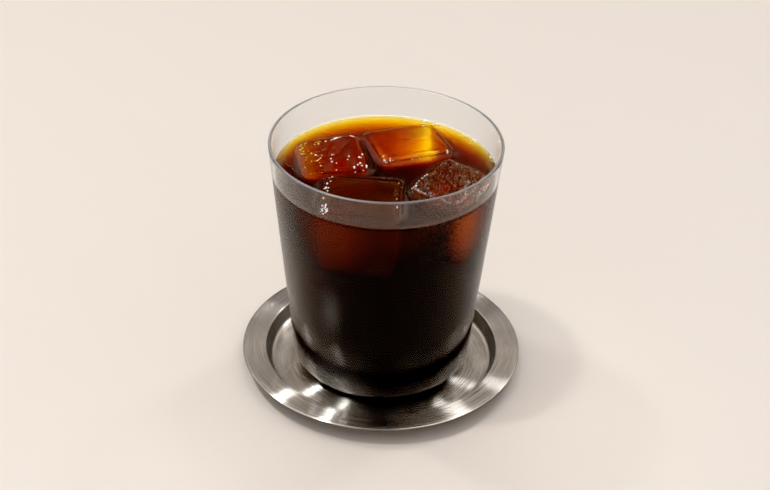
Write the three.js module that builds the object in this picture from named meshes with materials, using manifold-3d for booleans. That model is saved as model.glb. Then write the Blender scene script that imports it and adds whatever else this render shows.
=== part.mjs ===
// Iced cold brew coffee in a thin tapered glass that stands in the well of a round steel saucer.
// Millimetres, +Z up. The origin is the centre of the saucer's underside, and the front is -Y.

import * as THREE from 'three';
import { mergeVertices } from 'three/addons/utils/BufferGeometryUtils.js';
import Module from 'manifold-3d';

// How finely round shapes are cut, and how far apart touching pieces stand
const ROUND_STEPS = 64;
const ARC_STEP = THREE.MathUtils.degToRad(22);
const GAP = 0.3;

// Saucer: a shallow dish spun from one steel sheet, with a broad flat rim that overhangs its well
const SHEET = 1.2;
const SAUCER_RADIUS = 55.2;
const SAUCER_HEIGHT = 7;
const WELL_MOUTH_RADIUS = 46;
const WELL_FLOOR_RADIUS = 43.8;
const SHARP_BEND = 0.5;
const SOFT_BEND = 1.6;

// Glass: a thin straight wall that widens upwards from a rounded foot
const GLASS_HEIGHT = 98;
const GLASS_RIM_RADIUS = 44;
const GLASS_TAPER = 0.1;
const GLASS_WALL = 1.15;
const GLASS_BASE = 1.8;
const FOOT_ROUNDING = 8;
const LIP_ROUNDING = 0.5;
const PUNT_RADIUS = 20;
const PUNT_RISE = 0.6;

// Coffee: fills the glass to this far below the rim
const FILL_BELOW_RIM = 13.7;

// Ice: melted cubes, narrower at the bottom, each placed by the middle of its top face
const ICE_TAPER = 0.11;
const ICE_BEND_FLATS = 3;
const ICE_GRID = 2 * ICE_BEND_FLATS + 2;
const ICE_CUBES = [
  {
    name: 'ice_back_left', x: -21.4, y: 9.5, top: 87.7,
    width: 26.5, depth: 28.5, height: 27, rounding: 4.2, yaw: 11, tiltX: -1, tiltY: -10,
  },
  {
    name: 'ice_back_right', x: 8.3, y: 21, top: 87.9,
    width: 29, depth: 25, height: 25, rounding: 3, yaw: 21.5, tiltX: -2, tiltY: 1,
  },
  {
    name: 'ice_front_left', x: -8.2, y: -19.3, top: 88.5,
    width: 30, depth: 28, height: 27, rounding: 4, yaw: -3, tiltX: -1, tiltY: 2.5,
  },
  {
    name: 'ice_front_right', x: 24.4, y: -8.7, top: 88.7,
    width: 22.5, depth: 28.5, height: 27, rounding: 3.6, yaw: -32, tiltX: 2, tiltY: 3,
  },
];

// Heights and radii that follow from the sizes above
const GLASS_FOOT_Z = SHEET + GAP;
const GLASS_RIM_Z = GLASS_FOOT_Z + GLASS_HEIGHT;
const GLASS_FLOOR_Z = GLASS_FOOT_Z + GLASS_BASE;
const COFFEE_LEVEL = GLASS_RIM_Z - FILL_BELOW_RIM;
const glassOuterRadius = (z) => GLASS_RIM_RADIUS - GLASS_TAPER * (GLASS_RIM_Z - z);
const glassInnerRadius = (z) => glassOuterRadius(z) - GLASS_WALL;

const steel = new THREE.MeshStandardMaterial({ color: 0x9a958c, roughness: 0.28, metalness: 1 });
const clearGlass = new THREE.MeshStandardMaterial({
  color: 0xe9eeec, roughness: 0.05, metalness: 0, transparent: true, opacity: 0.3,
});
const coldBrew = new THREE.MeshStandardMaterial({ color: 0x2a0f06, roughness: 0.06, metalness: 0 });
const clearIce = new THREE.MeshStandardMaterial({
  color: 0xb8773c, roughness: 0.15, metalness: 0, transparent: true, opacity: 0.6,
});

// A corner's arc: points from one edge to the next on a circle of the given radius that touches both
function cornerArc(before, corner, after, rounding) {
  const back = before.clone().sub(corner).normalize();
  const ahead = after.clone().sub(corner).normalize();
  const halfAngle = Math.acos(THREE.MathUtils.clamp(back.dot(ahead), -1, 1)) / 2;
  const reach = rounding / Math.tan(halfAngle);
  const middle = back.clone().add(ahead).normalize().multiplyScalar(rounding / Math.sin(halfAngle));
  const centre = corner.clone().add(middle);
  const start = corner.clone().addScaledVector(back, reach).sub(centre);
  const end = corner.clone().addScaledVector(ahead, reach).sub(centre);
  const turn = Math.PI - 2 * halfAngle;
  const flats = Math.max(1, Math.round(turn / ARC_STEP));
  return Array.from({ length: flats + 1 }, (_, i) => {
    const share = i / flats;
    const fromStart = Math.sin((1 - share) * turn) / Math.sin(turn);
    const fromEnd = Math.sin(share * turn) / Math.sin(turn);
    return start.clone().multiplyScalar(fromStart).addScaledVector(end, fromEnd).add(centre);
  });
}

// An outline of [radius, height, rounding] corners as points, each rounded corner as an arc
function roundedOutline(corners) {
  const points = corners.map(([radius, height]) => new THREE.Vector2(radius, height));
  return corners.flatMap(([, , rounding], i) => (
    rounding ? cornerArc(points[i - 1], points[i], points[i + 1], rounding) : [points[i]]
  ));
}

// A closed outline that starts and ends on the axis, turned into a solid about Z
function turnedGeometry(corners) {
  return new THREE.LatheGeometry(roundedOutline(corners), ROUND_STEPS).rotateX(Math.PI / 2);
}

function saucerGeometry() {
  const rimUnder = SAUCER_HEIGHT - SHEET;
  return turnedGeometry([
    [0, 0],
    [WELL_FLOOR_RADIUS + SHEET, 0, SOFT_BEND + SHEET],
    [WELL_MOUTH_RADIUS + SHEET, rimUnder, SHARP_BEND],
    [SAUCER_RADIUS, rimUnder, SHARP_BEND],
    [SAUCER_RADIUS, SAUCER_HEIGHT, SHARP_BEND],
    [WELL_MOUTH_RADIUS, SAUCER_HEIGHT, SHARP_BEND],
    [WELL_FLOOR_RADIUS, SHEET, SOFT_BEND],
    [0, SHEET],
  ]);
}

function glassGeometry() {
  return turnedGeometry([
    [0, GLASS_FOOT_Z + PUNT_RISE],
    [PUNT_RADIUS, GLASS_FOOT_Z],
    [glassOuterRadius(GLASS_FOOT_Z), GLASS_FOOT_Z, FOOT_ROUNDING],
    [glassOuterRadius(GLASS_RIM_Z), GLASS_RIM_Z, LIP_ROUNDING],
    [glassInnerRadius(GLASS_RIM_Z), GLASS_RIM_Z, LIP_ROUNDING],
    [glassInnerRadius(GLASS_FLOOR_Z), GLASS_FLOOR_Z, FOOT_ROUNDING - GLASS_WALL],
    [0, GLASS_FLOOR_Z],
  ]);
}

// The coffee before the ice is cut out of it: the inside of the glass up to the level
function fillGeometry() {
  const floor = GLASS_FLOOR_Z + GAP;
  return turnedGeometry([
    [0, floor],
    [glassInnerRadius(floor) - GAP, floor, FOOT_ROUNDING - GLASS_WALL - GAP],
    [glassInnerRadius(COFFEE_LEVEL) - GAP, COFFEE_LEVEL],
    [0, COFFEE_LEVEL],
  ]);
}

// Where grid line i of a rounded edge-to-edge span lies: equal turns on both bends, one line midway
function spanPlace(i, half, rounding) {
  const fromEdge = Math.min(i, ICE_GRID - i);
  if (fromEdge > ICE_BEND_FLATS) return 0;
  const turn = (Math.PI / 4) * (1 - fromEdge / ICE_BEND_FLATS);
  return (half - rounding + rounding * Math.tan(turn)) * (i < ICE_GRID / 2 ? -1 : 1);
}

// A box with round edges whose sides draw in towards the bottom, its top face at height 0.
// Each grid point is pushed out from the sharp inner box by the rounding.
function iceGeometry({ width, depth, height, rounding }, grow = 0) {
  const half = new THREE.Vector3(width / 2, depth / 2, height / 2).addScalar(grow);
  const bend = rounding + grow;
  const core = half.clone().subScalar(bend);
  const geometry = new THREE.BoxGeometry(1, 1, 1, ICE_GRID, ICE_GRID, ICE_GRID);
  const position = geometry.attributes.position;
  const line = (share) => Math.round((share + 0.5) * ICE_GRID);
  const point = new THREE.Vector3();
  const inner = new THREE.Vector3();
  for (let i = 0; i < position.count; i += 1) {
    point.fromBufferAttribute(position, i);
    point.set(
      spanPlace(line(point.x), half.x, bend),
      spanPlace(line(point.y), half.y, bend),
      spanPlace(line(point.z), half.z, bend),
    );
    inner.copy(point).clamp(core.clone().negate(), core);
    point.sub(inner).setLength(bend).add(inner);
    const narrowing = 1 - (ICE_TAPER * (half.z - point.z)) / (2 * half.z);
    position.setXYZ(i, point.x * narrowing, point.y * narrowing, point.z - half.z + grow);
  }
  return geometry;
}

function placeIce(mesh, { x, y, top, yaw, tiltX, tiltY }) {
  const turn = [tiltX, tiltY, yaw].map(THREE.MathUtils.degToRad);
  mesh.position.set(x, y, top);
  mesh.rotation.set(...turn, 'ZYX');
  mesh.updateMatrixWorld();
  return mesh;
}

// A closed geometry as a solid that can be cut: shared corners merged, flattened triangles dropped
function toSolid(wasm, geometry) {
  const bare = geometry.clone();
  bare.deleteAttribute('normal');
  bare.deleteAttribute('uv');
  const merged = mergeVertices(bare);
  const index = Array.from(merged.index.array);
  const triangles = [];
  for (let i = 0; i < index.length; i += 3) {
    const corners = index.slice(i, i + 3);
    if (new Set(corners).size === 3) triangles.push(...corners);
  }
  return new wasm.Manifold(new wasm.Mesh({
    numProp: 3,
    vertProperties: new Float32Array(merged.attributes.position.array),
    triVerts: new Uint32Array(triangles),
  }));
}

function fromSolid(solid) {
  const mesh = solid.getMesh();
  const geometry = new THREE.BufferGeometry();
  geometry.setAttribute('position', new THREE.BufferAttribute(mesh.vertProperties, 3));
  geometry.setIndex(new THREE.BufferAttribute(mesh.triVerts, 1));
  geometry.computeVertexNormals();
  return geometry;
}

// The fill with a hollow round each ice cube, a gap wider than the cube
function coffeeGeometry(wasm) {
  return fromSolid(ICE_CUBES.reduce((coffee, cube) => {
    const hollow = placeIce(new THREE.Mesh(iceGeometry(cube, GAP)), cube);
    return coffee.subtract(toSolid(wasm, hollow.geometry.applyMatrix4(hollow.matrixWorld)));
  }, toSolid(wasm, fillGeometry())));
}

function namedMesh(name, geometry, material) {
  const mesh = new THREE.Mesh(geometry, material);
  mesh.name = name;
  return mesh;
}

const wasm = await Module();
wasm.setup();

const group = new THREE.Group();
group.add(namedMesh('saucer', saucerGeometry(), steel));
group.add(namedMesh('glass', glassGeometry(), clearGlass));
group.add(namedMesh('coffee', coffeeGeometry(wasm), coldBrew));
for (const cube of ICE_CUBES) {
  group.add(placeIce(namedMesh(cube.name, iceGeometry(cube), clearIce), cube));
}

export default group;
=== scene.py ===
import math

import bpy
import numpy as np
from bpy.props import FloatProperty, FloatVectorProperty, IntProperty, PointerProperty
from mathutils import Matrix, Vector


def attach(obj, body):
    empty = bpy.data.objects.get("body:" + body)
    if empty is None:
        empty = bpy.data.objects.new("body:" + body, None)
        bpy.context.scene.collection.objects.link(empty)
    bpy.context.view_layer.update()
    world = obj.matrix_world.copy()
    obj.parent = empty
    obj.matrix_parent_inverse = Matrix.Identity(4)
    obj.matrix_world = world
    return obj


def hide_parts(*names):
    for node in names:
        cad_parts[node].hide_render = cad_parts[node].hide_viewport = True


bl_info = {
    "name": "Iced cold brew coffee",
    "version": (1, 0, 0),
    "blender": (4, 5, 0),
    "location": "3D View > Sidebar > Cold brew",
    "description": "Builds iced cold brew coffee in its glass, on its steel saucer, round the packed frame",
    "category": "Object",
}

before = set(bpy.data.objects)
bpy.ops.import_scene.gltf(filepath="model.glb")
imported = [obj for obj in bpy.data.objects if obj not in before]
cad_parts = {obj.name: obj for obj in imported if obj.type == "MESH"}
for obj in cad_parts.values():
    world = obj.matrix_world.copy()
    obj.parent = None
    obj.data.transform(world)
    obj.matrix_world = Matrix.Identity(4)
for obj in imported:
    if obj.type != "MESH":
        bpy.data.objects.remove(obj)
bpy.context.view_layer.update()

MM = 0.001
BODY = "root"
SEED = 7
TURNED_UV = "turned"


# Arrays and meshes


def unit(vectors):
    """Vectors scaled to length one."""
    return vectors / np.linalg.norm(vectors, axis=-1, keepdims=True)


def corner_arc(before, corner, after, rounding, step):
    """A rounded corner: the points between its two tangent points, turned evenly about the arc's centre."""
    back, ahead = unit(before - corner), unit(after - corner)
    half = math.acos(float(np.clip(back @ ahead, -1, 1))) / 2
    centre = corner + unit(back + ahead) * rounding / math.sin(half)
    start = corner + back * rounding / math.tan(half) - centre
    end = corner + ahead * rounding / math.tan(half) - centre
    turn = math.pi - 2 * half
    share = np.linspace(0, 1, max(2, math.ceil(turn / step)) + 1)[:, None]
    return centre + (np.sin((1 - share) * turn) * start + np.sin(share * turn) * end) / math.sin(turn)


def rounded_outline(corners, step=math.radians(6), spacing=2 * MM):
    """(radius, height, rounding) corners as outline points, with arcs at the roundings. Longer spans are cut
    evenly."""
    points = np.array([c[:2] for c in corners], float)
    runs = []
    for i, (_, _, rounding) in enumerate(corners):
        if rounding:
            runs.append(corner_arc(points[i - 1], points[i], points[i + 1], rounding, step))
        else:
            runs.append(points[i : i + 1])
    outline = np.concatenate(runs)
    cut = []
    for a, b in zip(outline[:-1], outline[1:], strict=True):
        pieces = max(1, math.ceil(float(np.linalg.norm(b - a)) / spacing))
        cut.append(a + (b - a) * (np.arange(pieces) / pieces)[:, None])
    return np.concatenate([*cut, outline[-1:]])


def mesh_object(name, vertices, faces, slots=None, smooth=True):
    """A mesh object at the origin from arrays of vertices and faces. Slots give each face its material."""
    mesh = bpy.data.meshes.new(name)
    mesh.from_pydata(vertices.tolist(), [], faces)
    mesh.polygons.foreach_set("use_smooth", np.full(len(faces), smooth))
    if slots is not None:
        mesh.polygons.foreach_set("material_index", slots)
    mesh.update()
    obj = bpy.data.objects.new(name, mesh)
    bpy.context.scene.collection.objects.link(obj)
    return obj


def turned_uv(outline, columns):
    """The UVs of a turned surface, in the order of its faces' corners. U is the turn, and V the length along
    the outline, both from 0 to 1."""
    length = np.concatenate([[0], np.cumsum(np.linalg.norm(np.diff(outline, axis=0), axis=1))])
    length /= length[-1]
    j, ones = np.arange(columns), np.ones(columns)
    left, middle, right = j / columns, (j + 0.5) / columns, (j + 1) / columns
    shape = (len(outline) - 3, columns)
    u0, u1 = np.broadcast_to(left, shape), np.broadcast_to(right, shape)
    v0, v1 = np.broadcast_to(length[1:-2, None], shape), np.broadcast_to(length[2:-1, None], shape)
    quads = np.stack([u0, v0, u1, v0, u1, v1, u0, v1], -1)
    low = np.stack([middle, 0 * ones, right, ones * length[1], left, ones * length[1]], -1)
    high = np.stack([middle, ones, left, ones * length[-2], right, ones * length[-2]], -1)
    return np.concatenate([corners.reshape(-1, 2) for corners in (quads, low, high)])


def turned(name, outline, columns, slots=None):
    """Surface of revolution. Row i and column j lie at (r_i cos a_j, r_i sin a_j, z_i), where a_j is j whole
    turns over the columns. The outline starts and ends on the axis, and each end is one point. Slots give
    each span of the outline its material."""
    rings = outline[1:-1]
    j = np.arange(columns)
    ahead = (j + 1) % columns
    angle = 2 * math.pi * j / columns
    grid = np.stack(
        [
            rings[:, :1] * np.cos(angle),
            rings[:, :1] * np.sin(angle),
            np.repeat(rings[:, 1:], columns, 1),
        ],
        -1,
    ).reshape(-1, 3)
    ends = [[0, 0, outline[0, 1]], [0, 0, outline[-1, 1]]]
    base = (np.arange(len(rings) - 1) * columns)[:, None]
    quads = np.stack([base + j, base + ahead, base + columns + ahead, base + columns + j], -1).reshape(-1, 4)
    first, last, top = len(grid), len(grid) + 1, (len(rings) - 1) * columns
    low = np.stack([np.full(columns, first), ahead, j], -1)
    high = np.stack([np.full(columns, last), top + j, top + ahead], -1)
    if slots is not None:
        rows = np.concatenate([slots[1:-1], slots[[0, -1]]])
        slots = np.repeat(rows, columns).astype(np.int32)
    faces = quads.tolist() + low.tolist() + high.tolist()
    obj = mesh_object(name, np.concatenate([grid, ends]), faces, slots)
    layer = obj.data.uv_layers.new(name=TURNED_UV)
    layer.data.foreach_set("uv", turned_uv(outline, columns).ravel())
    return obj


# The lengths of random waves, as shares of their size, and how strongly their sum is bent into its bounds
WAVE_LENGTHS, WAVE_GAIN = (0.7, 1.6), 0.8


def wavy(points, seed, size, count=14):
    """A smooth field from -1 to 1: the tanh of a sum of sine waves in random directions."""
    rng = np.random.default_rng(seed)
    ways = unit(rng.normal(size=(count, 3)))
    ways *= 2 * math.pi / (size * rng.uniform(*WAVE_LENGTHS, (count, 1)))
    waves = np.sin(points @ ways.T + rng.uniform(0, 2 * math.pi, count))
    return np.tanh(waves.sum(1) / math.sqrt(count / 2) * WAVE_GAIN)


def finish_piece(obj, slot=None, *nodes):
    """Rides the piece on the body, and hides the CAD nodes it replaces, if it has them. Its finish's name is
    not used.
    """
    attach(obj, BODY)
    if nodes:
        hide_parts(*nodes)


# Node trees


def rgba(colour):
    """A colour as a node's input takes it. A socket stays as it is."""
    return colour if isinstance(colour, bpy.types.NodeSocket) else (*colour, 1.0)


class Tree:
    """A node tree, with short calls that add a node and link or set its inputs."""

    def __init__(self, node_tree):
        self.nodes, self.links = node_tree.nodes, node_tree.links

    def add(self, kind, inputs=None, **settings):
        """A node of that kind. Each input is linked if its value is a socket, and set otherwise."""
        node = self.nodes.new("ShaderNode" + kind)
        for key, value in settings.items():
            setattr(node, key, value)
        for key, value in (inputs or {}).items():
            if isinstance(value, bpy.types.NodeSocket):
                self.links.new(value, node.inputs[key])
            else:
                node.inputs[key].default_value = value
        return node

    def maths(self, operation, a, b=0.0, clamp=False):
        """The output of a Math node."""
        return self.add("Math", {0: a, 1: b}, operation=operation, use_clamp=clamp).outputs[0]

    def vector(self, operation, **inputs):
        """The output of a Vector Math node with the inputs a and b, or a and a scale."""
        names = {"a": 0, "b": 1, "scale": "Scale"}
        node = self.add("VectorMath", {names[k]: v for k, v in inputs.items()}, operation=operation)
        return node.outputs["Value" if operation == "LENGTH" else "Vector"]

    def parts(self, vector):
        """The vector's X, Y and Z."""
        return tuple(self.add("SeparateXYZ", {0: vector}).outputs)

    def between(self, value, low, high, to_low=0.0, to_high=1.0):
        """The value mapped smoothly from low..high to to_low..to_high."""
        node = self.add(
            "MapRange",
            {"Value": value, "From Min": low, "From Max": high, "To Min": to_low, "To Max": to_high},
            interpolation_type="SMOOTHSTEP",
        )
        return node.outputs["Result"]

    def mixed(self, share, first, second, blend_type="MIX"):
        """The first colour with that share of the second."""
        inputs = {"Fac": share, "Color1": rgba(first), "Color2": rgba(second)}
        return self.add("MixRGB", inputs, blend_type=blend_type).outputs["Color"]

    def noise(self, vector, scale, detail=2.0, roughness=0.6):
        """A Noise Texture's factor."""
        inputs = {"Vector": vector, "Scale": scale, "Detail": detail, "Roughness": roughness}
        return self.add("TexNoise", inputs).outputs["Fac"]

    def spot(self, vector, centre, reach):
        """One at the centre, fading smoothly to zero at the reach."""
        away = self.vector("DIVIDE", a=self.vector("SUBTRACT", a=vector, b=centre), b=reach)
        return self.between(self.vector("LENGTH", a=away), 0.0, 1.0, 1.0, 0.0)

    def spots(self, vector, patches):
        """The sum of spots, each given as a centre, a reach and a share."""
        total = 0.0
        for centre, reach, share in patches:
            total = self.maths("ADD", total, self.maths("MULTIPLY", self.spot(vector, centre, reach), share))
        return total


class Finish(Tree):
    """A material's node tree."""

    def __init__(self, name):
        self.material = bpy.data.materials.new(name)
        self.material.use_nodes = True
        super().__init__(self.material.node_tree)
        self.nodes.clear()
        self.output = self.nodes.new("ShaderNodeOutputMaterial")

    def place(self):
        """Object coordinates."""
        return self.add("TexCoord").outputs["Object"]

    def principled(self, inputs):
        """The output of a Principled BSDF."""
        return self.add("BsdfPrincipled", inputs).outputs[0]

    def light_passes(self, shader, tint):
        """The shader, with lamps' light let straight through, tinted, so that its shadow is pale."""
        path = self.add("LightPath").outputs["Is Shadow Ray"]
        clear = self.add("BsdfTransparent", {"Color": rgba(tint)}).outputs[0]
        return self.add("MixShader", {0: path, 1: shader, 2: clear}).outputs[0]

    def surface(self, shader):
        """Links the shader to the surface, and gives back the material."""
        self.links.new(shader, self.output.inputs["Surface"])
        return self.material


# Materials

# Where noise turns from its low to its high values
NOISE_RISE = (0.42, 0.62)
BLACK = (0.0, 0.0, 0.0)

# The saucer's steel, and painted shade on its well's steep wall, which sets in and out over these heights
STEEL = (0.68, 0.64, 0.585)
SHADED_WELL_STEEL = (0.26, 0.25, 0.24)
WALL_STARTS, WALL_ENDS = (0.0014, 0.0026), (0.0064, 0.0069)
# Its turned grooves: steps of noise for each metre, how steeply they lean for a whole step, and how far the
# noise drifts along a turn
FINE_GROOVES, BROAD_GROOVES = 60000.0, 2500.0
GROOVE_SLOPE = 2.4
GROOVE_DRIFT = 0.00004
BROAD_RISE = (0.3, 0.7)
STEEL_ROUGHNESS = (0.12, 0.15)
ACROSS_TANGENT = 0.25  # a quarter turn, which draws reflections out across the grooves


def steel_finish():
    """Spun steel: fine rings round the centre, and reflections drawn out across them."""
    tree = Finish("spun_steel")
    x, y, z = tree.parts(tree.place())
    flat = tree.add("CombineXYZ", {0: x, 1: y}).outputs[0]
    way = tree.vector("NORMALIZE", a=flat)
    across = tree.maths("ADD", tree.vector("LENGTH", a=flat), z)
    rings = tree.add("CombineXYZ", {2: across}).outputs[0]
    drift = tree.vector("MULTIPLY", a=way, b=(GROOVE_DRIFT,) * 3)
    lathe = tree.vector("ADD", a=rings, b=drift)
    fine, broad = tree.noise(lathe, FINE_GROOVES), tree.noise(lathe, BROAD_GROOVES)
    facing = tree.add("NewGeometry").outputs["Normal"]
    along = tree.vector("CROSS_PRODUCT", a=(0.0, 0.0, 1.0), b=way)
    over = tree.vector("CROSS_PRODUCT", a=along, b=facing)
    slope = tree.maths("MULTIPLY", tree.maths("SUBTRACT", fine, 0.5), GROOVE_SLOPE)
    leant = tree.vector("ADD", a=facing, b=tree.vector("SCALE", a=over, scale=slope))
    # Painted shade: the well's steep wall is darkened
    wall = tree.maths("MULTIPLY", tree.between(z, *WALL_STARTS), tree.between(z, *WALL_ENDS, 1.0, 0.0))
    shader = tree.principled(
        {
            "Base Color": tree.mixed(wall, STEEL, SHADED_WELL_STEEL),
            "Metallic": 1.0,
            "Roughness": tree.between(broad, *BROAD_RISE, *STEEL_ROUGHNESS),
            "Anisotropic": 1.0,
            "Anisotropic Rotation": ACROSS_TANGENT,
            "Tangent": tree.add("Tangent", direction_type="UV_MAP", uv_map=TURNED_UV).outputs[0],
            "Normal": tree.vector("NORMALIZE", a=leant),
        }
    )
    return tree.surface(shader)


# The glass, with a faint green cast. The lip's dulled edge sets in over these depths below its top.
GLASS_IOR = 1.5
GLASS = (0.985, 0.995, 0.99)
GLASS_SHADOW = (0.93, 0.94, 0.93)
LIP_DEPTHS = (0.0007, 0.0002)
LIP_ROUGHNESS, LIP_OPACITY = 0.4, 0.12


def clear_glass_finish(lip):
    """Clear thin glass. Its lip is slightly dulled."""
    tree = Finish("clear_glass")
    height = tree.parts(tree.place())[2]
    edge = tree.between(height, *(lip - depth for depth in LIP_DEPTHS))
    shader = tree.principled(
        {
            "Base Color": rgba(GLASS),
            "Roughness": tree.maths("MULTIPLY", edge, LIP_ROUGHNESS),
            "IOR": GLASS_IOR,
            "Transmission Weight": tree.maths("SUBTRACT", 1.0, tree.maths("MULTIPLY", edge, LIP_OPACITY)),
        }
    )
    return tree.surface(tree.light_passes(shader, GLASS_SHADOW))


# Dew on the glass. It sets in over these depths below the coffee's line, and its roughness grows over this
# span of Y. Patches of noise, drawn out upwards, shift that span by up to half the shift.
DEW_DEPTHS = (0.0012, 0.0002)
DEW_SPAN, DEW_ROUGHNESS = (-0.01, 0.03), (0.17, 0.62)
DEW_PATCHES, DEW_DETAIL, DEW_STRETCH = 70.0, 4.0, (1.0, 1.0, 0.22)
DEW_SHIFT = 0.03
DROPLETS = 1500.0
DROPLET_SHARES = (0.6, 1.0)
WATER_SHINE = (0.6, 0.6, 0.6)
# Where dew is thick enough to look grey: the middle of each patch, its reach along X, Y and Z, and its share
HAZE = (
    ((-0.017, -0.031, 0.010), (0.019, 0.03, 0.015), 1.0),
    ((-0.019, -0.034, 0.044), (0.006, 0.03, 0.016), 0.8),
    ((-0.036, -0.012, 0.05), (0.008, 0.04, 0.04), 0.8),
)
HAZE_SHARE = 0.08
# Amber that is painted on, where light would come out through the ice: each patch's middle, reach and share
AMBER_LIGHT = (
    ((0.030, -0.029, 0.082), (0.0085, 0.03, 0.020), 0.27),
    ((-0.018, -0.038, 0.082), (0.017, 0.03, 0.020), 0.09),
    ((0.003, -0.042, 0.084), (0.022, 0.03, 0.014), 0.03),
)
AMBER = (1.0, 0.19, 0.02)
TINY = 0.001  # keeps a share of nothing from being divided by zero


def fogged_glass_finish(coffee_line):
    """The glass's outside where cold coffee fogs it: fine dew, thin at the front and thick behind, and the
    painted amber glow of light that would come out through the ice."""
    tree = Finish("fogged_glass")
    place = tree.place()
    _, y, z = tree.parts(place)
    below = tree.between(z, *(coffee_line - depth for depth in DEW_DEPTHS), 1.0, 0.0)
    stretched = tree.add("Mapping", {"Vector": place, "Scale": DEW_STRETCH}).outputs[0]
    patches = tree.noise(stretched, DEW_PATCHES, DEW_DETAIL)
    shift = tree.maths("MULTIPLY", tree.maths("SUBTRACT", patches, 0.5), DEW_SHIFT)
    dew = tree.between(tree.maths("ADD", y, shift), *DEW_SPAN, *DEW_ROUGHNESS)
    droplets = tree.between(tree.noise(place, DROPLETS), *NOISE_RISE, *DROPLET_SHARES)
    haze = tree.maths("MULTIPLY", tree.spots(place, HAZE), tree.maths("MULTIPLY", droplets, HAZE_SHARE))
    amber = tree.maths("MULTIPLY", tree.spots(place, AMBER_LIGHT), below)
    veil = tree.maths("ADD", haze, amber)
    lit = tree.maths("DIVIDE", amber, tree.maths("ADD", veil, TINY))
    shader = tree.principled(
        {
            "Base Color": tree.mixed(lit, GLASS, AMBER),
            "Roughness": tree.maths("MULTIPLY", below, dew),
            "IOR": GLASS_IOR,
            "Specular Tint": rgba(WATER_SHINE),
            "Transmission Weight": tree.maths("SUBTRACT", 1.0, veil),
        }
    )
    return tree.surface(tree.light_passes(shader, GLASS_SHADOW))


WETTED_SHADOW = (0.98, 0.98, 0.98)


def wetted_glass_finish():
    """The glass's inside where the coffee wets it, which mirrors next to nothing."""
    tree = Finish("wetted_glass")
    shader = tree.principled(
        {"Roughness": 0.0, "IOR": GLASS_IOR, "Transmission Weight": 1.0, "Specular Tint": rgba(BLACK)}
    )
    return tree.surface(tree.light_passes(shader, WETTED_SHADOW))


COFFEE_IOR = 1.333
# The coffee's mirroring top sets in over these depths below its level, and over these slopes of its normal
TOP_DEPTHS, TOP_SLOPES = (0.0004, 0.0002), (0.05, 0.2)
# What a thin layer of coffee gives back of the light that falls on it
FILM_COLOUR = (1.0, 0.3, 0.07)
FILM_ROUGHNESS = 0.8
COFFEE_FILM = 0.06


def coffee_finish(settings, level):
    """Clear liquid that takes up blue first, then green, then red. Only its top mirrors the room, as its
    sides touch glass and ice."""
    tree = Finish("cold_brew")
    height = tree.parts(tree.place())[2]
    up = tree.parts(tree.add("NewGeometry").outputs["Normal"])[2]
    near_level = tree.between(height, *(level - depth for depth in TOP_DEPTHS))
    shader = tree.principled(
        {
            "Roughness": 0.0,
            "IOR": COFFEE_IOR,
            "Transmission Weight": 1.0,
            "Specular Tint": rgba(BLACK),
            "Coat Weight": tree.maths("MULTIPLY", near_level, tree.between(up, *TOP_SLOPES)),
            "Coat Roughness": 0.0,
            "Coat IOR": COFFEE_IOR,
            "Sheen Weight": COFFEE_FILM,
            "Sheen Roughness": FILM_ROUGHNESS,
            "Sheen Tint": rgba(FILM_COLOUR),
        }
    )
    volume = tree.add("VolumeAbsorption", {"Color": rgba(settings.colour), "Density": settings.density})
    tree.links.new(volume.outputs[0], tree.output.inputs["Volume"])
    return tree.surface(shader)


ICE_IOR = 1.31
ICE_SHADOW = (0.96, 0.96, 0.96)
CLEAR_ICE = (1.0, 1.0, 1.0)
# Its ripples and its slanting scratches: steps of noise for each metre, detail and roughness of the noise
RIPPLES, SCRATCHES = (160.0, 2.0, 0.5), (1400.0, 3.0, 0.65)
SCRATCH_TURN, SCRATCH_STRETCH = (0.0, 0.0, 0.6), (1.0, 0.3, 1.0)
RELIEF_DEPTH = 0.0004
# Strength of the relief and roughness on clear ice, and what full frost adds to them
CLEAR_RELIEF, FROST_RELIEF = 0.1, 0.3
CLEAR_ROUGHNESS, FROST_ROUGHNESS = 0.02, 0.4
# Painted shade: a darker, redder tint on one cube, all but its lit left end. It sets in over this span of X.
PAINTED_SHADE_ICE = (0.75, 0.28, 0.2)
PAINTED_SHADE_SPAN = (-0.030, -0.025)


def ice_finish(name, film, frost, shade_tinted):
    """Clear ice with a melted, faintly rippled skin and a thin brown film of coffee. Frost dulls it in
    patches, and a tint of painted shade darkens and reddens it."""
    tree = Finish(name)
    place = tree.place()
    # Painted shade: a darker, redder tint, kept off the left end where light comes through
    tint = tree.maths("MULTIPLY", tree.between(tree.parts(place)[0], *PAINTED_SHADE_SPAN), shade_tinted)
    slanting = {"Vector": place, "Rotation": SCRATCH_TURN, "Scale": SCRATCH_STRETCH}
    scratch = tree.noise(tree.add("Mapping", slanting).outputs[0], *SCRATCHES)
    grain = tree.maths("ADD", tree.noise(place, *RIPPLES), tree.maths("MULTIPLY", scratch, frost))
    strength = CLEAR_RELIEF + FROST_RELIEF * frost
    bump = tree.add("Bump", {"Height": grain, "Strength": strength, "Distance": RELIEF_DEPTH})
    dullest = CLEAR_ROUGHNESS + FROST_ROUGHNESS * frost
    shader = tree.principled(
        {
            "Base Color": tree.mixed(tint, CLEAR_ICE, PAINTED_SHADE_ICE),
            "Roughness": tree.between(scratch, *NOISE_RISE, CLEAR_ROUGHNESS, dullest),
            "IOR": ICE_IOR,
            "Transmission Weight": 1.0,
            "Sheen Weight": film,
            "Sheen Roughness": FILM_ROUGHNESS,
            "Sheen Tint": rgba(FILM_COLOUR),
            "Normal": bump.outputs[0],
        }
    )
    return tree.surface(tree.light_passes(shader, ICE_SHADOW))


# The dots are white all over: painted glints, where clear bubbles and droplets would only catch highlights
FROTH_GLINT_WHITE = (0.9, 0.9, 0.93)
FROTH_ROUGHNESS = 0.15


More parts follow.
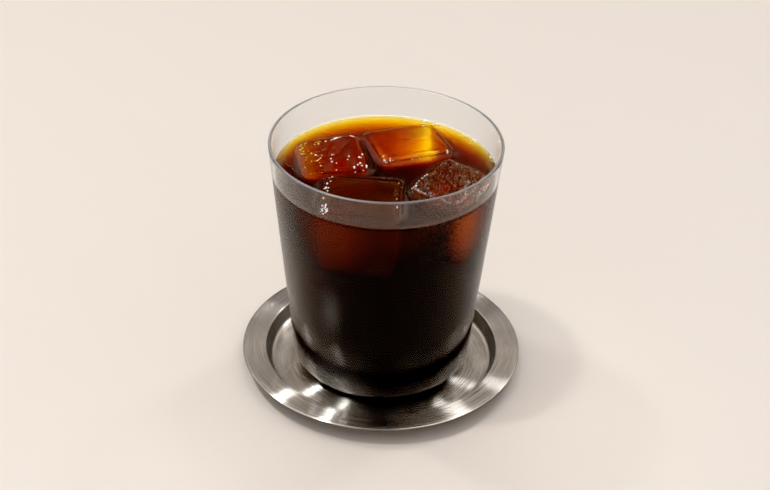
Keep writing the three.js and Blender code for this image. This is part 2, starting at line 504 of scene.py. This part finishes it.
def froth_glint_finish():
    """Tiny bubbles and droplets, white all over as painted glints of the light they catch."""
    tree = Finish("froth")
    return tree.surface(tree.principled({"Base Color": rgba(FROTH_GLINT_WHITE), "Roughness": FROTH_ROUGHNESS}))


# Sizes and colours that a user would change


def metres(name, description, default):
    """A length property."""
    return FloatProperty(name=name, description=description, default=default, unit="LENGTH")


class ColdBrewSaucerSettings(bpy.types.PropertyGroup):
    """The steel saucer's sizes."""

    radius: metres("Radius", "Outer radius", 0.0552)
    height: metres("Height", "Height of the rim's top", 0.007)
    sheet: metres("Sheet", "Thickness of the steel", 0.0012)
    mouth: metres("Mouth", "Radius of the well's mouth", 0.046)
    floor: metres("Floor", "Radius of the well's floor", 0.0438)
    sharp_bend: metres("Sharp bend", "Rounding of the rim", 0.0005)
    soft_bend: metres("Soft bend", "Rounding of the well", 0.0016)
    columns: IntProperty(name="Columns", description="Steps round the saucer", default=256, min=24)


class ColdBrewGlassSettings(bpy.types.PropertyGroup):
    """The glass's sizes."""

    foot: metres("Foot", "Height of the foot's underside", 0.0015)
    height: metres("Height", "Height from foot to rim", 0.098)
    rim: metres("Rim", "Outer radius at the rim", 0.044)
    taper: FloatProperty(name="Taper", description="Narrowing for each unit of height", default=0.1)
    wall: metres("Wall", "Thickness of the wall", 0.00115)
    base: metres("Base", "Thickness of the base", 0.0018)
    foot_rounding: metres("Foot rounding", "Outside rounding", 0.008)
    lip_rounding: metres("Lip rounding", "Rounding of the rim", 0.0005)
    punt_radius: metres("Punt", "Radius of the hollow underneath", 0.02)
    punt_rise: metres("Punt rise", "Depth of that hollow", 0.0006)
    columns: IntProperty(name="Columns", description="Steps round the glass", default=256, min=24)


class ColdBrewCoffeeSettings(bpy.types.PropertyGroup):
    """The coffee's level and colour."""

    fill_below_rim: metres("Fill below rim", "How far the level lies below the rim", 0.0137)
    overlap: metres("Overlap", "How far it reaches into glass and ice", 0.0001)
    climb: metres("Climb", "Rise of the surface at the glass", 0.0018)
    ice_climb: metres("Ice climb", "Rise of the surface at ice", 0.0012)
    reach: metres("Reach", "How far such a rise reaches", 0.0026)
    density: FloatProperty(name="Density", description="Darkness for each metre", default=1700.0)
    colour: FloatVectorProperty(
        name="Colour", description="Colour it lets through", default=(0.925, 0.82, 0.06), subtype="COLOR"
    )
    columns: IntProperty(name="Columns", description="Steps round the coffee", default=320, min=24)


class ColdBrewIceSettings(bpy.types.PropertyGroup):
    """The ice's shape."""

    taper: FloatProperty(name="Taper", description="Narrowing towards the bottom", default=0.11)
    relief: metres("Relief", "Depth of melted dips", 0.0007)
    film: FloatProperty(name="Film", description="How brown the film on the ice is", default=0.15)
    steps: IntProperty(name="Steps", description="Grid steps along each edge", default=40, min=12)


class ColdBrewFrothSettings(bpy.types.PropertyGroup):
    """The bubbles and droplets."""

    size: FloatProperty(name="Size", description="Size of the dots, as a share of the usual", default=1.2)


class ColdBrewStageSettings(bpy.types.PropertyGroup):
    """The floor and the light."""

    floor_colour: FloatVectorProperty(
        name="Floor", description="Colour of the floor", default=(0.80, 0.72, 0.64), subtype="COLOR"
    )
    lamp_power: FloatProperty(name="Lamps", description="Power of a whole share, in watts", default=2.9)
    shine_power: FloatProperty(name="Shine", description="The same as mirrors see it, in watts", default=12.0)


def glass_radius(glass, height):
    """Outer radius of the glass at a height."""
    return glass.rim - glass.taper * (glass.foot + glass.height - height)


def coffee_level(scene):
    """Height of the coffee's flat surface."""
    glass = scene.cold_brew_glass
    return glass.foot + glass.height - scene.cold_brew_coffee.fill_below_rim


# Ice

# Where the middle of each cube's top face lies, in millimetres, with its size, rounding and turns in degrees
ICE_CUBES = {
    "ice_back_left": dict(at=(-21.4, 9.5, 87.7), size=(26.5, 28.5, 27), rounding=4.2, yaw=11, tilt=(-1, -10)),
    "ice_back_right": dict(at=(8.3, 21, 87.9), size=(29, 25, 25), rounding=3, yaw=21.5, tilt=(-2, 1)),
    "ice_front_left": dict(at=(-8.2, -19.3, 88.5), size=(30, 28, 27), rounding=4, yaw=-3, tilt=(-1, 2.5)),
    "ice_front_right": dict(at=(24.4, -8.7, 88.7), size=(22.5, 28.5, 27), rounding=3.6, yaw=-32, tilt=(2, 3)),
}
# The frosted cube, and the cube that is tinted with painted shade
FROSTED, SHADE_TINTED = "ice_front_right", "ice_back_left"
# Ice that floats wholly under the surface, below the other cubes
SUNK_ICE = {
    "ice_sunk_left": dict(at=(-15.4, 17.1, 52.5), size=(20, 23, 30), rounding=4, yaw=42, tilt=(-1, 1)),
    "ice_sunk_right": dict(at=(15.4, 17.1, 61.6), size=(20, 23, 30), rounding=4, yaw=-42, tilt=(-1, -1)),
}
ALL_ICE = ICE_CUBES | SUNK_ICE
ICE_SEEDS = {name: seed for seed, name in enumerate(ALL_ICE, SEED)}
DIP_SIZE = 0.011
BEND_SHARE = 5  # one lattice line in so many lies on each bend


def turn_of(cube):
    """The cube's rotation: about X, then Y, then Z."""
    angles = [math.radians(a) for a in (*cube["tilt"], cube["yaw"])]
    about_x, about_y, about_z = (Matrix.Rotation(a, 3, axis) for a, axis in zip(angles, "XYZ", strict=True))
    return np.array(about_z @ about_y @ about_x)


def cube_lattice(steps):
    """The outside of a lattice of whole numbers from 0 to steps: its points and its outward faces, as six
    grids joined where their points are the same."""
    a, b = np.meshgrid(np.arange(steps + 1), np.arange(steps + 1), indexing="ij")
    points, faces = [], []
    corner = (np.arange(steps)[:, None] * (steps + 1) + np.arange(steps)).ravel()
    quad = np.stack([corner, corner + steps + 1, corner + steps + 2, corner + 1], -1)
    for axis in range(3):
        for side in (0, steps):
            grid = np.empty((a.size, 3), int)
            grid[:, axis] = side
            grid[:, (axis + 1) % 3] = a.ravel()
            grid[:, (axis + 2) % 3] = b.ravel()
            faces.append((quad if side else quad[:, ::-1]) + sum(len(p) for p in points))
            points.append(grid)
    points, faces = np.concatenate(points), np.concatenate(faces)
    key = (points[:, 0] * (steps + 1) + points[:, 1]) * (steps + 1) + points[:, 2]
    _, kept, merged = np.unique(key, return_index=True, return_inverse=True)
    return points[kept], merged[faces]


def ice_surface(name, ice, grow=0.0):
    """A box with round edges that narrows downwards, turned and placed by its top face. Lattice lines are
    spread over the flats and turned evenly round the edges. Each point lies at the rounding's distance from
    the sharp inner box, less a smooth relief."""
    cube, steps = ALL_ICE[name], ice.steps
    half = np.array(cube["size"]) * MM / 2 + grow
    bend = cube["rounding"] * MM + grow
    core = half - bend
    lattice, faces = cube_lattice(steps)
    bends = max(3, steps // BEND_SHARE)
    from_edge = np.minimum(lattice, steps - lattice)
    side = np.where(lattice < steps / 2, -1.0, 1.0)
    turn = math.pi / 4 * (1 - np.clip(from_edge / bends, 0, 1))
    along = (lattice - bends) / (steps - 2 * bends) * 2 - 1
    point = np.where(from_edge > bends, along * core, side * (core + bend * np.tan(turn)))
    inner = np.clip(point, -core, core)
    out = unit(point - inner)
    dips = 0.5 + 0.5 * wavy(inner + out * bend, ICE_SEEDS[name], DIP_SIZE)
    point = inner + out * (bend - ice.relief * dips)[:, None]
    point[:, :2] *= (1 - ice.taper * (half[2] - point[:, 2]) / (2 * half[2]))[:, None]
    point[:, 2] += grow - half[2]
    return point @ turn_of(cube).T + np.array(cube["at"]) * MM, faces


def ice_distance(points, cube, taper):
    """How far points lie outside a cube: the distance to its sharp inner box, less the rounding."""
    half = np.array(cube["size"]) * MM / 2
    bend = cube["rounding"] * MM
    local = (points - np.array(cube["at"]) * MM) @ turn_of(cube)
    local[:, 2] += half[2]
    local[:, :2] /= (1 - taper * (half[2] - local[:, 2]) / (2 * half[2]))[:, None]
    past = np.abs(local) - (half - bend)
    outside = np.linalg.norm(np.maximum(past, 0), axis=1)
    return outside + np.minimum(past.max(1), 0) - bend


# Coffee

# Rings on its flat top, and the power by which they crowd towards the wall
TOP_RINGS, TOP_CROWDING = 96, 1.25
ICE_REACH = 0.6  # how far the rise at ice reaches, as a share of the rise at the glass
SHARP_EDGE = math.radians(35)


def filled_glass(s, glass, level):
    """The coffee before the ice is cut out: the inside of the glass, turned, with a flat top. It gives back
    the radius at the top as well."""
    edge = level + s.climb
    floor = glass.foot + glass.base - s.overlap
    floor_radius = glass_radius(glass, floor) - glass.wall + s.overlap
    rim = glass_radius(glass, edge) - glass.wall + s.overlap
    bend = glass.foot_rounding - glass.wall + s.overlap
    side = rounded_outline([(0, floor, 0), (floor_radius, floor, bend), (rim, edge, 0)])
    inward = rim * (1 - np.linspace(0, 1, TOP_RINGS)[1:] ** TOP_CROWDING)
    top = np.stack([inward, np.full(len(inward), level)], -1)
    return turned("coffee_cold", np.concatenate([side, top]), s.columns), rim


def raise_edges(mesh, s, taper, level, rim):
    """Raises the flat top where it meets glass and ice. The rise falls off exponentially with the distance,
    and the highest of the rises at a point holds."""
    co = np.empty(len(mesh.vertices) * 3)
    mesh.vertices.foreach_get("co", co)
    co = co.reshape(-1, 3)
    on_top = np.isclose(co[:, 2], level) | np.isclose(co[:, 2], level + s.climb)
    surface = co[on_top]
    to_wall = rim - s.overlap - np.linalg.norm(surface[:, :2], axis=1)
    rise = s.climb * np.exp(-np.maximum(to_wall, 0) / s.reach)
    surface[:, 2] = level
    for cube in ICE_CUBES.values():
        away = np.maximum(ice_distance(surface, cube, taper), 0)
        rise = np.maximum(rise, s.ice_climb * np.exp(-away / (ICE_REACH * s.reach)))
    co[on_top, 2] = level + rise
    mesh.vertices.foreach_set("co", co.ravel())
    mesh.update()


def cut_round_ice(coffee, ice, overlap):
    """Cuts a hollow for each cube out of the coffee, smaller than the cube by the overlap."""
    cutters = []
    for name in ALL_ICE:
        vertices, faces = ice_surface(name, ice, -overlap)
        cutters.append(mesh_object("ice_hollow", vertices, faces.tolist()))
        cut = coffee.modifiers.new("hollow", "BOOLEAN")
        cut.object, cut.operation, cut.solver = cutters[-1], "DIFFERENCE", "EXACT"
    graph = bpy.context.evaluated_depsgraph_get()
    solid = bpy.data.meshes.new_from_object(coffee.evaluated_get(graph))
    solid.name = coffee.name
    coffee.modifiers.clear()
    coffee.data = solid
    for cutter in cutters:
        bpy.data.objects.remove(cutter)


# Froth

# Dots on each cube's top: its name, the shares of its width and depth between which they lie, how many, and
# their radius in millimetres
ICE_DOTS = (
    ("ice_back_left", (0.08, 0.42), (0.3, 0.97), 30, 0.36),
    ("ice_back_left", (0.35, 0.98), (0.88, 1.0), 18, 0.38),
    ("ice_back_left", (0.5, 1.0), (0.0, 0.6), 20, 0.32),
    ("ice_back_right", (0.05, 0.9), (0.0, 0.12), 12, 0.26),
    ("ice_back_right", (0.0, 0.12), (0.0, 0.3), 6, 0.3),
    ("ice_back_right", (0.75, 1.0), (0.9, 1.0), 5, 0.3),
    ("ice_front_left", (0.0, 0.14), (0.0, 1.0), 22, 0.28),
    ("ice_front_left", (0.0, 0.2), (0.0, 0.2), 9, 0.24),
    ("ice_front_left", (0.9, 1.0), (0.3, 0.9), 5, 0.24),
    ("ice_front_right", (0.0, 0.16), (0.0, 0.5), 16, 0.26),
    ("ice_front_right", (0.1, 0.95), (0.1, 0.95), 90, 0.13),
)
TOP_SHARE = 0.9  # points above this share of a cube's height are its top
ICE_DOT_SIZES = (0.55, 1.3)
# Dots where the coffee meets the glass: the span in degrees, how many, and their radius in millimetres
WALL_DOTS = (
    ((54, 72), 8, 0.44),
    ((30, 44), 6, 0.4),
    ((8, 24), 6, 0.28),
    ((112, 150), 4, 0.2),
)
WALL_DOT_SIZES = (0.6, 1.2)
WALL_DOT_RISES = (0.3, 0.9)  # shares of the coffee's climb
WALL_DOT_INSET = 0.8  # how far their middles lie off the wall, in radii


def small_balls(centres, radii, across=8, down=5):
    """Little balls as one mesh: on each, rows of points at evenly spaced angles from pole to pole, and
    columns turned evenly about its upright axis."""
    fall = math.pi * (np.arange(1, down) / down)
    turn = 2 * math.pi * np.arange(across) / across
    rows = np.stack(
        [
            np.sin(fall)[:, None] * np.cos(turn),
            np.sin(fall)[:, None] * np.sin(turn),
            np.repeat(np.cos(fall)[:, None], across, 1),
        ],
        -1,
    ).reshape(-1, 3)
    ball = np.concatenate([rows, [[0, 0, 1], [0, 0, -1]]])
    j = np.arange(across)
    ahead = (j + 1) % across
    base = (np.arange(down - 2) * across)[:, None]
    quads = np.stack([base + j, base + across + j, base + across + ahead, base + ahead], -1).reshape(-1, 4)
    top, bottom, last = len(rows), len(rows) + 1, (down - 2) * across
    caps = np.concatenate(
        [
            np.stack([np.full(across, top), j, ahead], -1),
            np.stack([np.full(across, bottom), last + ahead, last + j], -1),
        ]
    )
    vertices = (centres[:, None] + radii[:, None, None] * ball).reshape(-1, 3)
    offset = (np.arange(len(centres)) * len(ball))[:, None, None]
    return vertices, (quads + offset).reshape(-1, 4).tolist() + (caps + offset).reshape(-1, 3).tolist()


def dots_on_ice(rng, ice):
    """Centres and radii of the dots on the cubes: points drawn at random from patches of the cubes' tops."""
    lattice, _ = cube_lattice(ice.steps)
    width, depth, height = (lattice / ice.steps).T
    centres, radii = [], []
    for name, across, back, count, radius in ICE_DOTS:
        skin, _ = ice_surface(name, ice)
        in_width = (width >= across[0]) & (width <= across[1])
        in_depth = (depth >= back[0]) & (depth <= back[1])
        there = np.flatnonzero((height > TOP_SHARE) & in_width & in_depth)
        centres.append(skin[rng.choice(there, count, replace=False)])
        radii.append(radius * MM * rng.uniform(*ICE_DOT_SIZES, count))
    return centres, radii


def dots_on_wall(rng, glass, level, climb):
    """Centres and radii of the dots on the glass, just above the coffee's level."""
    centres, radii = [], []
    for span, count, radius in WALL_DOTS:
        turn = np.radians(rng.uniform(*span, count))
        height = level + climb * rng.uniform(*WALL_DOT_RISES, count)
        out = glass_radius(glass, height) - glass.wall - WALL_DOT_INSET * radius * MM
        centres.append(np.stack([out * np.cos(turn), out * np.sin(turn), height], -1))
        radii.append(radius * MM * rng.uniform(*WALL_DOT_SIZES, count))
    return centres, radii


# Stage

# Lamps: the way to each from the drink, its shares of the lamps' and of the shine's power, and its size
LAMP_DISTANCE = 1.33
LAMP_AIM = (0.0, 0.0, 0.04)
LAMP_COLOUR, WHITE = (1.0, 0.97, 0.93), (1.0, 1.0, 1.0)
LAMPS = (
    ("key", (-0.36, -0.03, 0.93), 1.15, 1.6, 0.09),
    ("left", (-0.52, 0.32, 0.79), 0.6, 0.9, 0.1),
    ("right_low", (0.5, 0.54, 0.68), 0.22, 0.45, 0.13),
    ("right_high", (0.33, 0.37, 0.87), 0.27, 0.45, 0.13),
    ("back_left", (-0.16, 0.83, 0.53), 0.02, 0.005, 0.012),
    ("back_right", (0.165, 0.83, 0.53), 0.02, 0.005, 0.012),
)
# The glow behind the drink. It fades between these distances from its middle, as shares of its width, and is
# seen through more surfaces than the last number: through coffee, and not through bare glass.
GLOW_PLACE, GLOW_AIM = (0.0, 0.074, 0.009), (0.0, 0.074, 1.0)
GLOW_SIZE = (0.22, 0.05)
GLOW_POWER = 0.135
GLOW_COLOUR = (1.0, 0.93, 0.8)
GLOW_FADE = (0.1, 0.48)
GLOW_THROUGH = 3.5
# The room's light by the sine of the height above the horizon
ROOM = (
    (0.0, (0.16, 0.14, 0.13)),
    (0.16, (0.14, 0.13, 0.12)),
    (0.3, (0.10, 0.10, 0.11)),
    (0.72, (0.14, 0.13, 0.14)),
    (0.86, (0.5, 0.49, 0.48)),
    (1.0, (0.6, 0.58, 0.57)),
)
# Light that comes in from both sides: its colour, and the spans of X and of Z over which it sets in
SIDES = (0.78, 0.69, 0.59)
SIDES_ACROSS, SIDES_ABOVE = (0.08, 0.3), (0.36, 0.5)
# What lights the floor evenly, and what is seen straight through glass
FILL = (0.71, 0.70, 0.71)
BEHIND = (1.4, 1.3, 1.2)
# The floor: half its width, how far it lies under the saucer, and the share of its brightness in mirrors
FLOOR_REACH, FLOOR_DROP = 4.0, 0.00005
FLOOR_MIRRORED = 0.65
FLOOR_ROUGHNESS = 0.6
# How the picture's tones are bent: linear light in, linear light out
TONES = ((0.025, 0.004), (0.06, 0.036), (0.2, 0.19))
WHOLE_CURVE = 3  # the curve that bends red, green and blue alike
BOUNCES = 24
# The camera, in millimetres and degrees, with its focal length in pixels of the picture
CAMERA_PLACE, CAMERA_AIM = (0.0, -545.045, 408.216), (0.5256, 0.0, 53.418)
CAMERA_ROLL = 1.5433
CAMERA_FOCUS, PICTURE_WIDTH = 1684.154, 770
SENSOR = 36.0
CLIP_START = 0.01


def add_camera():
    """The camera at the photograph's viewing angle."""
    place, aim = Vector(CAMERA_PLACE) * MM, Vector(CAMERA_AIM) * MM
    ahead = (aim - place).normalized()
    right = ahead.cross(Vector((0, 0, 1))).normalized()
    up = right.cross(ahead)
    cos, sin = math.cos(math.radians(CAMERA_ROLL)), math.sin(math.radians(CAMERA_ROLL))
    right, up = right * cos + up * sin, up * cos - right * sin
    camera = bpy.data.objects.new("camera", bpy.data.cameras.new("camera"))
    camera.data.sensor_width = SENSOR
    camera.data.sensor_fit = "HORIZONTAL"
    camera.data.lens = CAMERA_FOCUS * SENSOR / PICTURE_WIDTH
    camera.data.clip_start = CLIP_START
    camera.matrix_world = Matrix((right, up, -ahead)).transposed().to_4x4()
    camera.matrix_world.translation = place
    bpy.context.scene.collection.objects.link(camera)
    bpy.context.scene.camera = camera


def add_light(name, place, aim, power, size, colour=WHITE):
    """A soft light that faces a point. All lengths are in metres, and two sizes make it a rectangle."""
    lamp = bpy.data.lights.new(name, "AREA")
    lamp.energy, lamp.color, lamp.size = power, colour, size[0]
    if len(size) > 1:
        lamp.shape, lamp.size_y = "RECTANGLE", size[1]
    else:
        lamp.shape = "DISK"
    obj = bpy.data.objects.new(name, lamp)
    obj.location = place
    obj.rotation_euler = (Vector(place) - Vector(aim)).to_track_quat("Z", "Y").to_euler()
    bpy.context.scene.collection.objects.link(obj)
    return obj


def add_lamps(lamp_power, shine_power):
    """Each lamp twice: once as it lights things, and once as mirrors see it."""
    for name, way, light_share, shine_share, size in LAMPS:
        place = Vector(way).normalized() * LAMP_DISTANCE
        fill = add_light(name, place, LAMP_AIM, light_share * lamp_power, (size,), LAMP_COLOUR)
        fill.visible_glossy = False
        shine = add_light(name + "_shine", place, LAMP_AIM, shine_share * shine_power, (size,))
        shine.visible_diffuse = False


def add_glow():
    """A low light behind the drink that is seen only through the coffee, and makes its edge glow. It fades
    towards its two ends."""
    glow = add_light("glow", GLOW_PLACE, GLOW_AIM, GLOW_POWER, GLOW_SIZE, GLOW_COLOUR)
    glow.visible_camera = glow.visible_diffuse = glow.visible_glossy = glow.visible_volume_scatter = False
    glow.data.use_nodes = True
    tree = Tree(glow.data.node_tree)
    across = tree.parts(tree.add("NewGeometry").outputs["Parametric"])[0]
    from_middle = tree.maths("ABSOLUTE", tree.maths("SUBTRACT", across, 0.5))
    surfaces = tree.add("LightPath").outputs["Transmission Depth"]
    seen = tree.maths("GREATER_THAN", surfaces, GLOW_THROUGH)
    strength = tree.between(from_middle, *GLOW_FADE, seen, 0.0)
    tree.links.new(strength, tree.nodes["Emission"].inputs["Strength"])


def room_light(tree, height):
    """The room's colour at a height."""
    room = tree.add("ValToRGB", {"Fac": height})
    stops = room.color_ramp.elements
    for stop, (position, colour) in zip(stops, (ROOM[0], ROOM[-1]), strict=True):
        stop.position, stop.color = position, rgba(colour)
    for position, colour in ROOM[1:-1]:
        stops.new(position).color = rgba(colour)
    return room.outputs["Color"]


def add_world():
    """A room bright overhead and at both sides, and dim between. What is seen straight through glass is
    evenly pale, and an even fill lights what isn't a mirror."""
    world = bpy.data.worlds.new("studio")
    bpy.context.scene.world = world
    world.use_nodes = True
    world.cycles.sampling_method = "NONE"
    tree = Tree(world.node_tree)
    tree.nodes.clear()
    x, _, z = tree.parts(tree.add("TexCoord").outputs["Generated"])
    aside = tree.between(tree.maths("ABSOLUTE", x), *SIDES_ACROSS)
    sides = tree.maths("MULTIPLY", aside, tree.between(z, *SIDES_ABOVE))
    dome = tree.mixed(sides, room_light(tree, z), SIDES, "ADD")
    path = tree.add("LightPath").outputs
    shader = tree.add("Background", {"Color": rgba(BEHIND)}).outputs[0]
    for depth, colour in (("Glossy Depth", dome), ("Diffuse Depth", FILL)):
        light = tree.add("Background", {"Color": rgba(colour)}).outputs[0]
        shader = tree.add("MixShader", {0: path[depth], 1: shader, 2: light}).outputs[0]
    tree.links.new(shader, tree.add("OutputWorld").inputs["Surface"])


def add_floor(colour):
    """A plain pale floor, dimmer in mirrors than when it is looked at."""
    corners = np.array([[-1, -1, 0], [1, -1, 0], [1, 1, 0], [-1, 1, 0]]) * FLOOR_REACH
    corners[:, 2] = -FLOOR_DROP
    floor = mesh_object("floor", corners, [[0, 1, 2, 3]], smooth=False)
    tree = Finish("pale_floor")
    path = tree.add("LightPath").outputs
    mirrored = tree.maths("SUBTRACT", path["Is Glossy Ray"], path["Is Transmission Ray"], clamp=True)
    dimmed = [FLOOR_MIRRORED * c for c in colour]
    shader = tree.principled(
        {"Base Color": tree.mixed(mirrored, colour, dimmed), "Roughness": FLOOR_ROUGHNESS}
    )
    floor.data.materials.append(tree.surface(shader))


def bend_tones(view):
    """Bends the picture's tones, to deepen the darks."""
    view.view_transform = "Standard"
    view.use_curve_mapping = True
    for point in TONES:
        view.curve_mapping.curves[WHOLE_CURVE].points.new(*point)
    view.curve_mapping.update()


# Operators


class ColdBrewAddSaucer(bpy.types.Operator):
    """Add the spun steel saucer"""

    bl_idname = "cold_brew.add_saucer"
    bl_label = "Saucer"

    def execute(self, context):
        s = context.scene.cold_brew_saucer
        rim_under = s.height - s.sheet
        outline = rounded_outline(
            [
                (0, 0, 0),
                (s.floor + s.sheet, 0, s.soft_bend + s.sheet),
                (s.mouth + s.sheet, rim_under, s.sharp_bend),
                (s.radius, rim_under, s.sharp_bend),
                (s.radius, s.height, s.sharp_bend),
                (s.mouth, s.height, s.sharp_bend),
                (s.floor, s.sheet, s.soft_bend),
                (0, s.sheet, 0),
            ],
            math.radians(12),
        )
        saucer = turned("saucer_spun", outline, s.columns)
        saucer.data.materials.append(steel_finish())
        finish_piece(saucer, "steel", "saucer")
        return {"FINISHED"}


class ColdBrewAddGlass(bpy.types.Operator):
    """Add the thin tapered glass"""

    bl_idname = "cold_brew.add_glass"
    bl_label = "Glass"

    def execute(self, context):
        s = context.scene.cold_brew_glass
        rim, floor = s.foot + s.height, s.foot + s.base
        wetted = coffee_level(context.scene) + context.scene.cold_brew_coffee.climb
        outline = rounded_outline(
            [
                (0, s.foot + s.punt_rise, 0),
                (s.punt_radius, s.foot, 0),
                (glass_radius(s, s.foot), s.foot, s.foot_rounding),
                (glass_radius(s, wetted), wetted, 0),
                (glass_radius(s, rim), rim, s.lip_rounding),
                (glass_radius(s, rim) - s.wall, rim, s.lip_rounding),
                (glass_radius(s, wetted) - s.wall, wetted, 0),
                (glass_radius(s, floor) - s.wall, floor, s.foot_rounding - s.wall),
                (0, floor, 0),
            ]
        )
        clear_slot, wetted_slot, fogged_slot = 0, 1, 2
        middle = (outline[:-1, 1] + outline[1:, 1]) / 2
        inside = np.arange(len(middle)) >= np.argmax(outline[:, 1])
        slots = np.where(middle < wetted, np.where(inside, wetted_slot, fogged_slot), clear_slot)
        glass = turned("glass_clear", outline, s.columns, slots)
        for material in (clear_glass_finish(rim), wetted_glass_finish(), fogged_glass_finish(wetted)):
            glass.data.materials.append(material)
        finish_piece(glass, "clear_glass", "glass")
        return {"FINISHED"}


class ColdBrewAddIce(bpy.types.Operator):
    """Add the melting ice cubes"""

    bl_idname = "cold_brew.add_ice"
    bl_label = "Ice"

    def execute(self, context):
        s = context.scene.cold_brew_ice
        for name in ALL_ICE:
            vertices, faces = ice_surface(name, s)
            ice = mesh_object(name + "_melting", vertices, faces.tolist())
            # One cube gets a tint of painted shade
            frosted, shade_tinted = name == FROSTED, name == SHADE_TINTED
            kind = "frosted_ice" if frosted else "shade_tinted_ice" if shade_tinted else "clear_ice"
            ice.data.materials.append(ice_finish(kind, s.film, float(frosted), float(shade_tinted)))
            finish_piece(ice, "ice", *([name] if name in ICE_CUBES else []))
        return {"FINISHED"}


class ColdBrewAddCoffee(bpy.types.Operator):
    """Add the coffee, cut round the ice"""

    bl_idname = "cold_brew.add_coffee"
    bl_label = "Coffee"

    def execute(self, context):
        scene = context.scene
        s, ice, level = scene.cold_brew_coffee, scene.cold_brew_ice, coffee_level(scene)
        coffee, rim = filled_glass(s, scene.cold_brew_glass, level)
        raise_edges(coffee.data, s, ice.taper, level, rim)
        cut_round_ice(coffee, ice, s.overlap)
        solid = coffee.data
        solid.materials.clear()
        solid.materials.append(coffee_finish(s, level))
        solid.polygons.foreach_set("material_index", np.zeros(len(solid.polygons), np.int32))
        solid.polygons.foreach_set("use_smooth", np.ones(len(solid.polygons), bool))
        solid.set_sharp_from_angle(angle=SHARP_EDGE)
        finish_piece(coffee, "cold_brew", "coffee")
        return {"FINISHED"}


class ColdBrewAddFroth(bpy.types.Operator):
    """Add the tiny bubbles and droplets on the ice and along the coffee's edge"""

    bl_idname = "cold_brew.add_froth"
    bl_label = "Froth"

    def execute(self, context):
        scene = context.scene
        rng = np.random.default_rng(SEED)
        on_ice = dots_on_ice(rng, scene.cold_brew_ice)
        climb = scene.cold_brew_coffee.climb
        on_wall = dots_on_wall(rng, scene.cold_brew_glass, coffee_level(scene), climb)
        centres, radii = (np.concatenate(a + b) for a, b in zip(on_ice, on_wall, strict=True))
        vertices, faces = small_balls(centres, radii * scene.cold_brew_froth.size)
        froth = mesh_object("froth_dots", vertices, faces)
        froth.data.materials.append(froth_glint_finish())
        finish_piece(froth)
        return {"FINISHED"}


class ColdBrewAddStage(bpy.types.Operator):
    """Add the floor, the light and the camera"""

    bl_idname = "cold_brew.add_stage"
    bl_label = "Stage"

    def execute(self, context):
        scene = context.scene
        s = scene.cold_brew_stage
        add_floor(s.floor_colour)
        add_world()
        add_lamps(s.lamp_power, s.shine_power)
        add_glow()
        add_camera()
        bend_tones(scene.view_settings)
        scene.cycles.max_bounces = BOUNCES
        scene.cycles.transmission_bounces = BOUNCES
        scene.cycles.transparent_max_bounces = BOUNCES
        return {"FINISHED"}


class ColdBrewPanel(bpy.types.Panel):
    """Panel that lists the drink's pieces and sizes"""

    bl_idname = "VIEW3D_PT_cold_brew"
    bl_label = "Cold brew"
    bl_space_type = "VIEW_3D"
    bl_region_type = "UI"
    bl_category = "Cold brew"

    def draw(self, context):
        for operator, settings, _ in PARTS:
            box = self.layout.box()
            box.operator(operator.bl_idname)
            group = getattr(context.scene, settings)
            for name in group.bl_rna.properties.keys():
                if name not in ("rna_type", "name"):
                    box.prop(group, name)


PARTS = (
    (ColdBrewAddSaucer, "cold_brew_saucer", ColdBrewSaucerSettings),
    (ColdBrewAddGlass, "cold_brew_glass", ColdBrewGlassSettings),
    (ColdBrewAddIce, "cold_brew_ice", ColdBrewIceSettings),
    (ColdBrewAddCoffee, "cold_brew_coffee", ColdBrewCoffeeSettings),
    (ColdBrewAddFroth, "cold_brew_froth", ColdBrewFrothSettings),
    (ColdBrewAddStage, "cold_brew_stage", ColdBrewStageSettings),
)


def register():
    for operator, settings, group in PARTS:
        bpy.utils.register_class(group)
        setattr(bpy.types.Scene, settings, PointerProperty(type=group))
        bpy.utils.register_class(operator)
    bpy.utils.register_class(ColdBrewPanel)


def unregister():
    bpy.utils.unregister_class(ColdBrewPanel)
    for operator, settings, group in PARTS:
        bpy.utils.unregister_class(operator)
        delattr(bpy.types.Scene, settings)
        bpy.utils.unregister_class(group)


def main():
    register()
    bpy.ops.cold_brew.add_saucer()
    bpy.ops.cold_brew.add_glass()
    bpy.ops.cold_brew.add_ice()
    bpy.ops.cold_brew.add_coffee()
    bpy.ops.cold_brew.add_froth()
    bpy.ops.cold_brew.add_stage()


if __name__ == "__main__":
    main()
